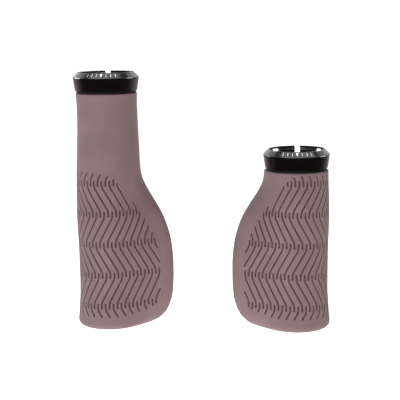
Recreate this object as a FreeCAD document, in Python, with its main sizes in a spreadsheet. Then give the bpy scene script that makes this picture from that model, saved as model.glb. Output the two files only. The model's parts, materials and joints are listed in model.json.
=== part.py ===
import FreeCAD, Part
import math
import os
import Sketcher

# A pair of lock-on handlebar grips with palm wings, standing on their outer ends.
# Each grip is a rubber sleeve moulded on a plastic core, an end cap pushed into the
# core, and a split clamp ring with its bolt and washer round the core's collet.
# Millimetres, +Z up.  Every piece is modelled about its own grip's bar axis with the
# outer end at z = 0 and is then placed; the wings point towards each other along X
# and the palm faces look along -Y.

Vector = FreeCAD.Vector
Rotation = FreeCAD.Rotation
doc = FreeCAD.newDocument("bar_end_grips")

SIZES = [
    # places of the two grips
    ("long_axis_x", -47.64),
    ("long_axis_y", 2.97),
    ("long_height", 130.00),
    ("long_ring_turn", 0.00),
    ("short_axis_x", 47.64),
    ("short_axis_y", -7.13),
    ("short_height", 91.00),
    ("short_ring_turn", -6.50),
    # core: a tube for a 22.2 mm handlebar, a flange and a slit collet
    ("bar_bore_radius", 11.15),
    ("bar_stop_height", 8.00),
    ("plug_bore_radius", 10.40),
    ("tube_radius", 12.60),
    ("tube_foot", 2.25),
    ("flange_radius", 15.10),
    ("flange_thickness", 1.10),
    ("collet_radius", 13.50),
    ("collet_drop", 4.00),
    ("slit_width", 2.80),
    # stiffening fin of the core inside the wing
    ("fin_reach", 25.00),
    ("fin_thickness", 2.80),
    ("fin_foot", 14.00),
    ("fin_height", 44.00),
    ("window_radius", 3.00),
    ("window_offset", 18.60),
    ("window_foot", 22.00),
    ("window_spacing", 14.00),
    # end cap
    ("cap_radius", 12.20),
    ("cap_recess", 0.45),
    ("cap_face_thickness", 1.50),
    ("cap_barrel_radius", 10.35),
    ("cap_barrel_wall", 1.45),
    ("cap_barrel_top", 7.60),
    ("cap_slot_length", 12.00),
    ("cap_slot_width", 1.60),
    ("cap_slot_depth", 0.70),
    ("cap_edge_chamfer", 0.40),
    ("cap_opening_radius", 12.25),
    # clamp ring
    ("ring_bore_radius", 13.58),
    ("ring_foot_radius", 15.70),
    ("ring_wide_radius", 16.70),
    ("ring_rim_radius", 14.30),
    ("ring_height", 9.36),
    ("ring_chamfer_foot", 6.85),
    ("ring_edge_radius", 0.35),
    ("ring_lead_radius", 14.00),
    ("ring_lead_top", 0.95),
    ("ring_lead_foot", 2.25),
    ("boss_half_width", 8.00),
    ("boss_reach", 21.30),
    ("boss_height", 8.10),
    ("boss_corner_radius", 3.00),
    ("boss_rim_radius", 0.50),
    ("ring_slot_width", 2.80),
    # clamp bolt, an M3 x 12 socket head screw, and its washer
    ("bolt_offset", 16.90),
    ("bolt_level", 4.05),
    ("bolt_seat", 4.00),
    ("bolt_shank_radius", 1.48),
    ("bolt_thread_hole_radius", 1.53),
    ("bolt_clear_hole_radius", 1.65),
    ("bolt_shank_length", 12.00),
    ("bolt_tip_chamfer", 0.40),
    ("bolt_head_radius", 2.75),
    ("bolt_head_height", 3.00),
    ("bolt_head_chamfer", 0.25),
    ("bolt_socket_flats", 2.50),
    ("bolt_socket_depth", 1.50),
    ("counterbore_radius", 3.20),
    ("washer_radius", 3.00),
    ("washer_hole_radius", 1.60),
    ("washer_thickness", 0.50),
    # rubber sleeve
    ("wing_tip_radius", 4.60),
    ("wing_blend", 1.20),
    ("foot_rounding", 3.00),
    ("collar_rounding", 0.60),
    ("finger_hollow_depth", 1.60),
    ("finger_hollow_offset", 18.00),
    ("finger_hollow_width", 7.50),
    ("finger_hollow_level", 33.00),
    ("finger_hollow_height", 24.00),
]

sheet = doc.addObject("Spreadsheet::Sheet", "Sizes")
for row, (alias, value) in enumerate(SIZES, start=1):
    sheet.set("A%d" % row, alias)
    sheet.set("B%d" % row, str(value))
    sheet.setAlias("B%d" % row, alias)
doc.recompute()


def size(alias):
    """The plain number in the cell with this alias."""
    return float(sheet.get(alias))


def bind(obj, expressions):
    """Bind properties to formulas; a name in braces is a cell of the sheet."""
    for prop, formula in expressions.items():
        obj.setExpression(prop, formula.replace("{", "Sizes.").replace("}", ""))
    return obj


def primitive(kind, name, expressions):
    return bind(doc.addObject("Part::" + kind, name), expressions)


def fuse(name, shapes):
    result = doc.addObject("Part::MultiFuse", name)
    result.Shapes = shapes
    return result


def cut(name, base, tool):
    result = doc.addObject("Part::Cut", name)
    result.Base = base
    result.Tool = tool
    return result


def place(obj, grip):
    """Stand a finished piece on its grip's axis."""
    bind(obj, {
        "Placement.Base.x": "{%s_axis_x}" % grip,
        "Placement.Base.y": "{%s_axis_y}" % grip,
    })
    obj.Label = obj.Name
    return obj


# ---------------------------------------------------------------- sketch helpers

def origin_plane(body, role):
    for feature in body.Origin.OriginFeatures:
        if feature.Role == role:
            return feature
    raise ValueError(role)


def sketch_on(body, name, role, lift=None):
    """A sketch on one of the body's origin planes, lifted along the plane's normal."""
    sketch = body.newObject("Sketcher::SketchObject", name)
    sketch.AttachmentSupport = [(origin_plane(body, role), "")]
    sketch.MapMode = "FlatFace"
    if lift:
        bind(sketch, {"AttachmentOffset.Base.z": lift})
    return sketch


def polygon(sketch, points):
    """A closed polygon with every corner's coordinates bound to formulas."""
    doc.recompute()
    values = []
    for across, up in points:
        corner = []
        for formula in (across, up):
            plain = formula
            for alias, number in SIZES:
                plain = plain.replace("{%s}" % alias, "(%r)" % number)
            quantity = FreeCAD.Units.parseQuantity(plain)
            corner.append(quantity.Value)
        values.append(Vector(corner[0], corner[1], 0))
    first = sketch.GeometryCount
    count = len(values)
    for i in range(count):
        segment = Part.LineSegment(values[i], values[(i + 1) % count])
        sketch.addGeometry(segment, False)
    for i in range(count):
        following = first + (i + 1) % count
        sketch.addConstraint(Sketcher.Constraint("Coincident", first + i, 2, following, 1))
    for i, (across, up) in enumerate(points):
        for kind, formula, axis in (("DistanceX", across, -2), ("DistanceY", up, -1)):
            if formula == "0":
                sketch.addConstraint(Sketcher.Constraint("PointOnObject", first + i, 1, axis))
                continue
            value = values[i].x if kind == "DistanceX" else values[i].y
            index = sketch.addConstraint(
                Sketcher.Constraint(kind, -1, 1, first + i, 1, value))
            bind(sketch, {"Constraints[%d]" % index: formula})


def circle(sketch, across, up, radius):
    """A circle whose centre and radius are cells of the sheet, given by alias."""
    centre = Vector(size(across) if across else 0, size(up) if up else 0, 0)
    index = sketch.addGeometry(Part.Circle(centre, Vector(0, 0, 1), size(radius)), False)
    number = sketch.addConstraint(Sketcher.Constraint("Radius", index, size(radius)))
    bind(sketch, {"Constraints[%d]" % number: "{%s}" % radius})
    for kind, alias, axis in (("DistanceX", across, -2), ("DistanceY", up, -1)):
        if alias is None:
            sketch.addConstraint(Sketcher.Constraint("PointOnObject", index, 3, axis))
            continue
        number = sketch.addConstraint(Sketcher.Constraint(kind, -1, 1, index, 3, size(alias)))
        bind(sketch, {"Constraints[%d]" % number: "{%s}" % alias})


def revolve(body, name, points, kind="Revolution"):
    """Turn a closed profile (radius, height) about the body's Z axis; the kind Groove
    cuts it away instead."""
    profile = sketch_on(body, name + "_profile", "XZ_Plane")
    polygon(profile, points)
    feature = body.newObject("PartDesign::" + kind, name)
    feature.Profile = profile
    feature.ReferenceAxis = (profile, ["V_Axis"])
    feature.Angle = 360.0
    doc.recompute()
    return feature


def pad(body, name, profile, length):
    feature = body.newObject("PartDesign::Pad", name)
    feature.Profile = profile
    bind(feature, {"Length": length})
    doc.recompute()
    return feature


def pocket(body, name, profile, length, reverse=False):
    """Cut along the sketch's normal if reverse is set, against it otherwise."""
    before = body.Shape.Volume
    feature = body.newObject("PartDesign::Pocket", name)
    feature.Profile = profile
    feature.Reversed = reverse
    bind(feature, {"Length": length})
    doc.recompute()
    if body.Shape.Volume > before - 0.01:
        raise ValueError(name + " cuts nothing")
    return feature


def dress(body, kind, name, base, chosen, expression):
    """A fillet or chamfer of the base feature's edges that the test chooses."""
    edges = []
    for number, edge in enumerate(base.Shape.Edges, start=1):
        if chosen(edge):
            edges.append("Edge%d" % number)
    feature = body.newObject("PartDesign::" + kind, name)
    feature.Base = (base, edges)
    bind(feature, expression)
    doc.recompute()
    return feature


# ---------------------------------------------------------------- rubber sleeve

# Outline of a grip, from the outer end upwards: height, radius round the bar, and
# how far the wing's tip reaches from the bar axis.
WING_STATIONS = [
    (0.0, 17.15, 21.0),
    (3.0, 17.12, 25.6),
    (6.0, 16.80, 28.5),
    (9.5, 16.52, 30.3),
    (13.0, 16.28, 31.45),
    (18.0, 15.98, 32.25),
    (25.0, 15.90, 32.65),
    (32.0, 15.96, 32.65),
    (38.0, 16.00, 32.30),
    (44.3, 16.16, 31.45),
    (50.5, 16.40, 29.85),
    (56.8, 16.53, 27.50),
]
NECK_STATIONS = {
    "long": [
        (63.0, 16.49, 24.25),
        (69.2, 16.36, 20.62),
        (75.3, 16.18, 17.50),
        (79.5, 16.05, 16.10),
        (85.0, 15.84, 15.46),
        (94.0, 15.44, 15.36),
        (103.0, 15.06, 15.06),
        (112.0, 15.02, 14.58),
        (119.54, 15.45, 13.40),
    ],
    "short": [
        (63.0, 16.49, 23.95),
        (69.2, 16.32, 19.78),
        (75.3, 16.10, 16.45),
        (80.54, 16.02, 14.60),
    ],
}
WING_SIDE = {"long": 1.0, "short": -1.0}
SECTION_POINTS = 40
NORMAL_STEPS = 720
FOOT_STEPS = 4


def blend_between(stations, height, column):
    """Smooth curve through a column of the stations that never overshoots them."""
    levels = [station[0] for station in stations]
    values = [station[column] for station in stations]
    last = len(levels) - 1
    steps = []
    for i in range(last):
        steps.append((values[i + 1] - values[i]) / (levels[i + 1] - levels[i]))
    slopes = [steps[0]]
    for i in range(1, last):
        same_way = steps[i - 1] * steps[i] > 0
        mean = 2 * steps[i - 1] * steps[i] / (steps[i - 1] + steps[i]) if same_way else 0.0
        slopes.append(mean)
    slopes.append(steps[-1])
    i = 0
    while i < last - 1 and height > levels[i + 1]:
        i += 1
    width = levels[i + 1] - levels[i]
    part = min(max((height - levels[i]) / width, 0.0), 1.0)
    rise = part * part * (3 - 2 * part)
    start_bend = part * (1 - part) ** 2 * width
    end_bend = part * part * (part - 1) * width
    smooth = values[i] + (values[i + 1] - values[i]) * rise
    return smooth + slopes[i] * start_bend + slopes[i + 1] * end_bend


def smooth_step(value):
    value = min(max(value, 0.0), 1.0)
    return value * value * (3 - 2 * value)


def bell(distance, width):
    return math.exp(-(distance / width) ** 2)


def section_outline(radius, reach, inset, height):
    """Points round one level: a circle and the wing's small tip circle, wrapped by a
    smoothed common tangent, with a hollow for the fingers on the back of the wing."""
    tip_radius = size("wing_tip_radius")
    tip_offset = reach - tip_radius
    blend = size("wing_blend")

    def wrap(angle):
        tip = tip_offset * math.cos(angle) + tip_radius
        return 0.5 * (radius + tip + math.hypot(radius - tip, blend)) - inset

    dense = []
    delta = 1e-4
    for step in range(NORMAL_STEPS):
        angle = math.pi + 2 * math.pi * step / NORMAL_STEPS
        support = wrap(angle)
        slope = (wrap(angle + delta) - wrap(angle - delta)) / (2 * delta)
        dense.append((support * math.cos(angle) - slope * math.sin(angle),
                      support * math.sin(angle) + slope * math.cos(angle)))
    lengths = [0.0]
    for i in range(NORMAL_STEPS):
        following = dense[(i + 1) % NORMAL_STEPS]
        lengths.append(lengths[-1] + math.dist(dense[i], following))
    points = []
    i = 0
    for number in range(SECTION_POINTS):
        target = lengths[-1] * number / SECTION_POINTS
        while lengths[i + 1] < target:
            i += 1
        part = (target - lengths[i]) / (lengths[i + 1] - lengths[i])
        start = dense[i]
        end = dense[(i + 1) % NORMAL_STEPS]
        across = start[0] + (end[0] - start[0]) * part
        depth = start[1] + (end[1] - start[1]) * part
        hollow = size("finger_hollow_depth")
        hollow *= bell(height - size("finger_hollow_level"), size("finger_hollow_height"))
        hollow *= bell(across - size("finger_hollow_offset"), size("finger_hollow_width"))
        hollow *= smooth_step(depth / 5.0)
        points.append((across, depth - hollow))
    return points


def sleeve_levels(grip, top):
    """Heights of the sections with the inset of the rounded foot and collar."""
    foot = size("foot_rounding")
    collar = size("collar_rounding")
    levels = []
    for step in range(FOOT_STEPS + 1):
        turn = 0.5 * math.pi * step / FOOT_STEPS
        levels.append((foot * (1 - math.cos(turn)), foot * (1 - math.sin(turn))))
    inner = [5.0, 8.0, 12.0, 17.0, 23.0, 30.0, 38.0, 46.0, 53.0, 60.0, 66.0, 72.0]
    if grip == "long":
        inner += [78.0, 86.0, 95.0, 105.0, 113.0]
    for height in inner:
        levels.append((height, 0.0))
    for step in range(3):
        turn = 0.25 * math.pi * step
        levels.append((top - collar * (1 - math.sin(turn)), collar * (1 - math.cos(turn))))
    return levels


def make_sleeve(grip, cavity):
    """Rubber sleeve: lofted skin less the core's outside and the cap's opening."""
    side = WING_SIDE[grip]
    stations = WING_STATIONS + NECK_STATIONS[grip]
    top = size(grip + "_height") - size("ring_height") - size("flange_thickness")
    wires = []
    for height, inset in sleeve_levels(grip, top):
        radius = blend_between(stations, height, 1)
        reach = blend_between(stations, height, 2)
        outline = section_outline(radius, reach, inset, height)
        points = [Vector(side * across, depth, height) for across, depth in outline]
        curve = Part.BSplineCurve()
        curve.interpolate(Points=points, PeriodicFlag=True)
        wires.append(Part.Wire([curve.toShape()]))
    skin = doc.addObject("Part::Feature", grip + "_skin")
    skin.Shape = Part.makeLoft(wires, True, False)
    return place(cut(grip + "_sleeve", skin, cavity), grip)


# ---------------------------------------------------------------- plastic core

def make_fin(grip):
    """Stiffening fin with three windows that the rubber flows through."""
    side = WING_SIDE[grip]
    start = "0" if side > 0 else "-{fin_reach}"
    plate = primitive("Box", grip + "_fin_plate", {
        "Length": "{fin_reach}",
        "Width": "{fin_thickness}",
        "Height": "{fin_height}",
        "Placement.Base.x": start,
        "Placement.Base.y": "-{fin_thickness} / 2",
        "Placement.Base.z": "{fin_foot}",
    })
    holes = []
    for number in range(3):
        hole = primitive("Cylinder", "%s_window_%d" % (grip, number + 1), {
            "Radius": "{window_radius}",
            "Height": "2 * {fin_thickness}",
        })
        hole.Placement.Rotation = Rotation(Vector(1, 0, 0), -90)
        bind(hole, {
            "Placement.Base.x": "%d * {window_offset}" % side,
            "Placement.Base.y": "-{fin_thickness}",
            "Placement.Base.z": "{window_foot} + %d * {window_spacing}" % number,
        })
        holes.append(hole)
    return cut(grip + "_fin", plate, fuse(grip + "_windows", holes))


def make_cavity(grip, fin):
    """What the sleeve is moulded round: tube, fin and the cap's opening."""
    tube = primitive("Cylinder", grip + "_tube_space", {
        "Radius": "{tube_radius}",
        "Height": "{%s_height}" % grip,
        "Placement.Base.z": "{tube_foot}",
    })
    opening = primitive("Cylinder", grip + "_cap_space", {
        "Radius": "{cap_opening_radius}",
        "Height": "{tube_foot} + 2",
        "Placement.Base.z": "-1",
    })
    return fuse(grip + "_cavity", [tube, opening, fin])


def make_core(grip, fin):
    """Tube, flange and collet, bored for the bar, with a stop above the end cap."""
    top = "{%s_height}" % grip
    flange_foot = top + " - {ring_height} - {flange_thickness}"
    ring_foot = top + " - {ring_height}"
    collet_top = top + " - {collet_drop}"
    tube = primitive("Cylinder", grip + "_tube", {
        "Radius": "{tube_radius}",
        "Height": ring_foot + " - {tube_foot}",
        "Placement.Base.z": "{tube_foot}",
    })
    flange = primitive("Cylinder", grip + "_flange", {
        "Radius": "{flange_radius}",
        "Height": "{flange_thickness}",
        "Placement.Base.z": flange_foot,
    })
    collet = primitive("Cylinder", grip + "_collet", {
        "Radius": "{collet_radius}",
        "Height": collet_top + " - (" + flange_foot + ")",
        "Placement.Base.z": flange_foot,
    })
    outside = fuse(grip + "_core_outside", [tube, flange, collet, fin])
    bore = primitive("Cylinder", grip + "_bar_bore", {
        "Radius": "{bar_bore_radius}",
        "Height": top,
        "Placement.Base.z": "{bar_stop_height}",
    })
    plug_bore = primitive("Cylinder", grip + "_plug_bore", {
        "Radius": "{plug_bore_radius}",
        "Height": "{bar_stop_height}",
        "Placement.Base.z": "1",
    })
    slits = []
    for name, length, width in (("front_slit", "{slit_width}", "4 * {collet_radius}"),
                                ("side_slit", "4 * {collet_radius}", "{slit_width}")):
        slits.append(primitive("Box", "%s_%s" % (grip, name), {
            "Length": length,
            "Width": width,
            "Height": "{ring_height}",
            "Placement.Base.x": "-(%s) / 2" % length,
            "Placement.Base.y": "-(%s) / 2" % width,
            "Placement.Base.z": ring_foot,
        }))
    inside = fuse(grip + "_core_inside", [bore, plug_bore] + slits)
    return place(cut(grip + "_core", outside, inside), grip)


# ---------------------------------------------------------------- end cap

def make_end_cap(grip):
    """Round plug with a hollow barrel and a slot to lift it out."""
    body = doc.addObject("PartDesign::Body", grip + "_end_cap")
    face_top = "{cap_recess} + {cap_face_thickness}"
    hollow = "{cap_barrel_radius} - {cap_barrel_wall}"
    turned = revolve(body, grip + "_cap_turning", [
        ("0", "{cap_recess}"),
        ("{cap_radius}", "{cap_recess}"),
        ("{cap_radius}", "{tube_foot}"),
        ("{cap_barrel_radius}", "{tube_foot}"),
        ("{cap_barrel_radius}", "{cap_barrel_top}"),
        (hollow, "{cap_barrel_top}"),
        (hollow, face_top),
        ("0", face_top),
    ])
    outline = sketch_on(body, grip + "_cap_slot_outline", "XY_Plane", "{cap_recess}")
    half_length = "{cap_slot_length} / 2"
    half_width = "{cap_slot_width} / 2"
    polygon(outline, [
        ("-" + half_length, "-" + half_width),
        (half_length, "-" + half_width),
        (half_length, half_width),
        ("-" + half_length, half_width),
    ])
    slot = pocket(body, grip + "_cap_slot", outline, "{cap_slot_depth}", reverse=True)
    rim = size("cap_radius")
    floor = size("cap_recess")

    def outer_edge(edge):
        box = edge.BoundBox
        return box.ZMax - floor < 0.01 and abs(box.XMax - rim) < 0.01

    dress(body, "Chamfer", grip + "_cap_edge", slot, outer_edge,
          {"Size": "{cap_edge_chamfer}"})
    return place(body, grip)


# ---------------------------------------------------------------- clamp ring

def ring_placement(grip):
    """Where the ring's own frame (bottom centre, slot towards +Y) stands."""
    foot = size(grip + "_height") - size("ring_height")
    base = Vector(size(grip + "_axis_x"), size(grip + "_axis_y"), foot)
    return FreeCAD.Placement(base, Rotation(Vector(0, 0, 1), size(grip + "_ring_turn")))


def make_clamp_ring(grip):
    """Conical split ring with a wide chamfer outside, a wider mouth with a lead-in cone
    at the top of its bore and a bolt boss across its slot.  The two rings are mirror
    images, with their bolt heads towards the other grip."""
    side = WING_SIDE[grip]
    body = doc.addObject("PartDesign::Body", grip + "_clamp_ring")
    revolve(body, grip + "_ring_turning", [
        ("0", "0"),
        ("{ring_foot_radius}", "0"),
        ("{ring_wide_radius}", "{ring_chamfer_foot}"),
        ("{ring_rim_radius}", "{ring_height}"),
        ("0", "{ring_height}"),
    ])
    boss_outline = sketch_on(body, grip + "_boss_outline", "XY_Plane")
    polygon(boss_outline, [
        ("-{boss_half_width}", "0"),
        ("{boss_half_width}", "0"),
        ("{boss_half_width}", "{boss_reach}"),
        ("-{boss_half_width}", "{boss_reach}"),
    ])
    boss = pad(body, grip + "_boss", boss_outline, "{boss_height}")
    reach = size("boss_reach")

    def boss_corner(edge):
        box = edge.BoundBox
        return box.YMin > reach - 0.01 and box.XLength < 0.01

    rounded = dress(body, "Fillet", grip + "_boss_corners", boss, boss_corner,
                    {"Radius": "{boss_corner_radius}"})

    def boss_rim(edge):
        box = edge.BoundBox
        return box.ZLength < 0.01 and box.YMax > reach - size("boss_corner_radius") - 0.01

    dress(body, "Fillet", grip + "_boss_rims", rounded, boss_rim,
          {"Radius": "{boss_rim_radius}"})
    bore_outline = sketch_on(body, grip + "_ring_bore_outline", "XY_Plane")
    circle(bore_outline, None, None, "ring_bore_radius")
    pocket(body, grip + "_ring_bore", bore_outline, "2 * {ring_height}", reverse=True)
    revolve(body, grip + "_ring_lead_in", [
        ("{ring_bore_radius} - 1", "{ring_height} - {ring_lead_foot}"),
        ("{ring_bore_radius}", "{ring_height} - {ring_lead_foot}"),
        ("{ring_lead_radius}", "{ring_height} - {ring_lead_top}"),
        ("{ring_lead_radius}", "{ring_height}"),
        ("{ring_bore_radius} - 1", "{ring_height}"),
    ], kind="Groove")
    slot_outline = sketch_on(body, grip + "_ring_slot_outline", "XY_Plane")
    polygon(slot_outline, [
        ("-{ring_slot_width} / 2", "{ring_bore_radius} / 2"),
        ("{ring_slot_width} / 2", "{ring_bore_radius} / 2"),
        ("{ring_slot_width} / 2", "2 * {boss_reach}"),
        ("-{ring_slot_width} / 2", "2 * {boss_reach}"),
    ])
    pocket(body, grip + "_ring_slot", slot_outline, "2 * {ring_height}", reverse=True)
    holes = (
        ("clear_hole", "bolt_clear_hole_radius", None, side > 0),
        ("thread_hole", "bolt_thread_hole_radius", None, side < 0),
        ("counterbore", "counterbore_radius", "%d * {bolt_seat}" % side, side > 0),
    )
    last = None
    for name, radius, lift, reverse in holes:
        outline = sketch_on(body, "%s_%s_outline" % (grip, name), "YZ_Plane", lift)
        circle(outline, "bolt_offset", "bolt_level", radius)
        last = pocket(body, "%s_%s" % (grip, name), outline, "2 * {boss_half_width}", reverse)
    rim = size("ring_rim_radius")

    def turned_edge(edge):
        box = edge.BoundBox
        round_the_outside = box.ZLength < 0.01 and box.XMax > rim - 0.01 and box.YMin < 0
        return round_the_outside and box.YMax < size("bolt_offset")

    dress(body, "Fillet", grip + "_ring_edges", last, turned_edge,
          {"Radius": "{ring_edge_radius}"})
    body.Label = body.Name
    body.Placement = ring_placement(grip)
    return body


# ---------------------------------------------------------------- bolt and washer

def bolt_placement(grip, seat):
    """The bolt's own frame has +Z along its shank; seat is its origin's place."""
    side = WING_SIDE[grip]
    local = FreeCAD.Placement(Vector(side * seat, size("bolt_offset"), size("bolt_level")),
                              Rotation(Vector(0, 1, 0), -90 * side))
    return ring_placement(grip).multiply(local)


def make_clamp_bolt(grip):
    """Socket head screw; its head's top is its own z = 0."""
    head = primitive("Cylinder", grip + "_bolt_head", {
        "Radius": "{bolt_head_radius}",
        "Height": "{bolt_head_height}",
    })
    shank = primitive("Cylinder", grip + "_bolt_shank", {
        "Radius": "{bolt_shank_radius}",
        "Height": "{bolt_head_height} + {bolt_shank_length}",
    })
    blank = fuse(grip + "_bolt_blank", [head, shank])
    socket = primitive("Prism", grip + "_bolt_socket", {
        "Circumradius": "{bolt_socket_flats} / 2 / cos(30)",
        "Height": "{bolt_socket_depth}",
    })
    socket.Polygon = 6
    drilled = cut(grip + "_bolt_drilled", blank, socket)
    doc.recompute()
    length = size("bolt_head_height") + size("bolt_shank_length")
    edges = []
    for number, edge in enumerate(drilled.Shape.Edges, start=1):
        box = edge.BoundBox
        if box.ZLength > 0.01:
            continue
        if box.ZMax > length - 0.01:
            tip = size("bolt_tip_chamfer")
            edges.append((number, tip, tip))
        elif box.ZMin < 0.01 and box.XMax > size("bolt_head_radius") - 0.01:
            rim = size("bolt_head_chamfer")
            edges.append((number, rim, rim))
    bolt = doc.addObject("Part::Chamfer", grip + "_clamp_bolt")
    bolt.Base = drilled
    bolt.Edges = edges
    bolt.Label = bolt.Name
    head_top = size("bolt_seat") + size("washer_thickness") + size("bolt_head_height")
    bolt.Placement = bolt_placement(grip, head_top)
    return bolt


def make_bolt_washer(grip):
    body = doc.addObject("PartDesign::Body", grip + "_bolt_washer")
    revolve(body, grip + "_washer_turning", [
        ("{washer_hole_radius}", "0"),
        ("{washer_radius}", "0"),
        ("{washer_radius}", "{washer_thickness}"),
        ("{washer_hole_radius}", "{washer_thickness}"),
    ])
    body.Label = body.Name
    body.Placement = bolt_placement(grip, size("bolt_seat") + size("washer_thickness"))
    return body


# ---------------------------------------------------------------- the pair

pieces = []
for grip in ("long", "short"):
    fin = make_fin(grip)
    pieces.append(make_sleeve(grip, make_cavity(grip, fin)))
    pieces.append(make_core(grip, fin))
    pieces.append(make_end_cap(grip))
    pieces.append(make_clamp_ring(grip))
    pieces.append(make_bolt_washer(grip))
    pieces.append(make_clamp_bolt(grip))

doc.recompute()
for obj in doc.Objects:
    if "Invalid" in obj.State or "Error" in obj.State:
        raise RuntimeError("%s failed: %s" % (obj.Name, obj.State))
for piece in pieces:
    if piece.Shape.isNull() or not piece.Shape.isValid():
        raise RuntimeError(piece.Name + " has no valid shape")
    if len(piece.Shape.Solids) != 1:
        raise RuntimeError("%s has %d solids" % (piece.Name, len(piece.Shape.Solids)))

os.makedirs("parts", exist_ok=True)
for piece in pieces:
    piece.Shape.exportStep(os.path.join("parts", piece.Label + ".step"))
    box = piece.Shape.BoundBox
    print("%-18s x %7.2f %7.2f  y %7.2f %7.2f  z %7.2f %7.2f  volume %9.1f" % (
        piece.Label, box.XMin, box.XMax, box.YMin, box.YMax, box.ZMin, box.ZMax,
        piece.Shape.Volume))
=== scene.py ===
import json
import math

import bmesh
import bpy
import numpy as np
from mathutils import Matrix, Vector
from mathutils.geometry import delaunay_2d_cdt


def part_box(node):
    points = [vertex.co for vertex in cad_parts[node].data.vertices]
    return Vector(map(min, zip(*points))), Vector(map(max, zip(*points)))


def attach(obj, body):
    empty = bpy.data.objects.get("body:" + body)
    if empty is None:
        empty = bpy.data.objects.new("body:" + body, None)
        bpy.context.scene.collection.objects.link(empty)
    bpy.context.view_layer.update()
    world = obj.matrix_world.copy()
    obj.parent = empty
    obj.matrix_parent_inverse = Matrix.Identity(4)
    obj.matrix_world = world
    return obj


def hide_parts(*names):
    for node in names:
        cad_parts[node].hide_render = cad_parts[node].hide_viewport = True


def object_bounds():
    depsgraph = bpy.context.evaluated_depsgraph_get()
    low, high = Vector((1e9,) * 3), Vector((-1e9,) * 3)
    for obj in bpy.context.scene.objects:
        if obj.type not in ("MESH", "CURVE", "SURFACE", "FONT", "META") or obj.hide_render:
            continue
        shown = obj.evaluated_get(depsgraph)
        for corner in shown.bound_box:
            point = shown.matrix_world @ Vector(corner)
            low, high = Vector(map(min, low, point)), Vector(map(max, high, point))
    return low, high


# Looks for a pair of lock-on handlebar grips standing on their outer ends.  Each grip's
# rubber skin is laid out as (s, w): s is the way round from the front meridian towards
# the wing and w is the way up the profile, both in millimetres.  The herringbone grooves
# are drawn there, triangulated with the skin, and pressed in along its normals.

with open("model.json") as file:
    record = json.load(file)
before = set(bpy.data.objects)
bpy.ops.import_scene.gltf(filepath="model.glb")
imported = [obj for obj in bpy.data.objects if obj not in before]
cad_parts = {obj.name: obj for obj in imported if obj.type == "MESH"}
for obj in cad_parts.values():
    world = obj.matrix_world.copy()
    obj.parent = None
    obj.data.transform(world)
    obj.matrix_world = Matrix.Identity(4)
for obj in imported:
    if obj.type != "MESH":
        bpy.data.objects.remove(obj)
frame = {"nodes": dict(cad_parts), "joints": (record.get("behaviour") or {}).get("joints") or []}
cad_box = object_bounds()
joints = {joint["name"]: joint for joint in frame["joints"]}

MM = 0.001
GRIPS = ("long", "short")
WING_SIDE = {"long": 1.0, "short": -1.0}


def axis_of(grip):
    """Where the grip's bar axis stands: the middle of its round end cap."""
    low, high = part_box(grip + "_end_cap")
    return (low.x + high.x) / 2, (low.y + high.y) / 2


def add_object(name, data):
    """A new object, linked into the scene."""
    item = bpy.data.objects.new(name, data)
    bpy.context.scene.collection.objects.link(item)
    return item


def finish_mesh(mesh, name, material, crease=None):
    """The finished mesh as object data: smooth but for edges sharper than the crease
    angle in degrees, or flat without one."""
    bmesh.ops.recalc_face_normals(mesh, faces=mesh.faces)
    for face in mesh.faces:
        face.smooth = crease is not None
    data = bpy.data.meshes.new(name)
    mesh.to_mesh(data)
    mesh.free()
    if crease is not None:
        data.set_sharp_from_angle(angle=math.radians(crease))
    data.materials.append(material)
    return data


def bridge(mesh, lower, upper):
    """A band of faces between two rings of vertices."""
    for i in range(len(lower)):
        j = (i + 1) % len(lower)
        mesh.faces.new((lower[i], lower[j], upper[j], upper[i]))


# ---------------------------------------------------------------- materials

def new_material(name, color, roughness, metallic=0.0, specular=0.5):
    """A material with its node tree and its shader."""
    material = bpy.data.materials.new(name)
    material.use_nodes = True
    material.diffuse_color = (*color, 1)
    shader = material.node_tree.nodes["Principled BSDF"]
    shader.inputs["Base Color"].default_value = (*color, 1)
    shader.inputs["Roughness"].default_value = roughness
    shader.inputs["Metallic"].default_value = metallic
    shader.inputs["Specular IOR Level"].default_value = specular
    return material, material.node_tree, shader


def noise(tree, scale, detail=3.0, stretch=(1, 1, 1)):
    """Noise in the object's own space; scale is in features per metre."""
    place = tree.nodes.new("ShaderNodeTexCoord")
    spread = tree.nodes.new("ShaderNodeMapping")
    spread.inputs["Scale"].default_value = stretch
    grain = tree.nodes.new("ShaderNodeTexNoise")
    grain.inputs["Scale"].default_value = scale
    grain.inputs["Detail"].default_value = detail
    tree.links.new(place.outputs["Object"], spread.inputs["Vector"])
    tree.links.new(spread.outputs["Vector"], grain.inputs["Vector"])
    return grain.outputs["Fac"]


def remap(tree, source, low, high, out_low=0.0, out_high=1.0):
    """The range low to high of a value, spread over out_low to out_high and clamped."""
    node = tree.nodes.new("ShaderNodeMapRange")
    node.inputs["From Min"].default_value = low
    node.inputs["From Max"].default_value = high
    node.inputs["To Min"].default_value = out_low
    node.inputs["To Max"].default_value = out_high
    tree.links.new(source, node.inputs["Value"])
    return node.outputs["Result"]


def mixed_color(tree, factor, first, second):
    """A colour between two; each is a plain colour or another node's output."""
    node = tree.nodes.new("ShaderNodeMix")
    node.data_type = "RGBA"
    tree.links.new(factor, node.inputs["Factor"])
    for entry, value in ((node.inputs["A"], first), (node.inputs["B"], second)):
        if isinstance(value, tuple):
            entry.default_value = (*value, 1)
        else:
            tree.links.new(value, entry)
    return node.outputs["Result"]


def bump(tree, shader, layers):
    """Relief from (height output, depth in metres) layers, coarsest first."""
    normal = None
    for height, depth in layers:
        node = tree.nodes.new("ShaderNodeBump")
        node.inputs["Strength"].default_value = 1.0
        node.inputs["Distance"].default_value = depth
        tree.links.new(height, node.inputs["Height"])
        if normal:
            tree.links.new(normal, node.inputs["Normal"])
        normal = node.outputs["Normal"]
    tree.links.new(normal, shader.inputs["Normal"])


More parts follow.
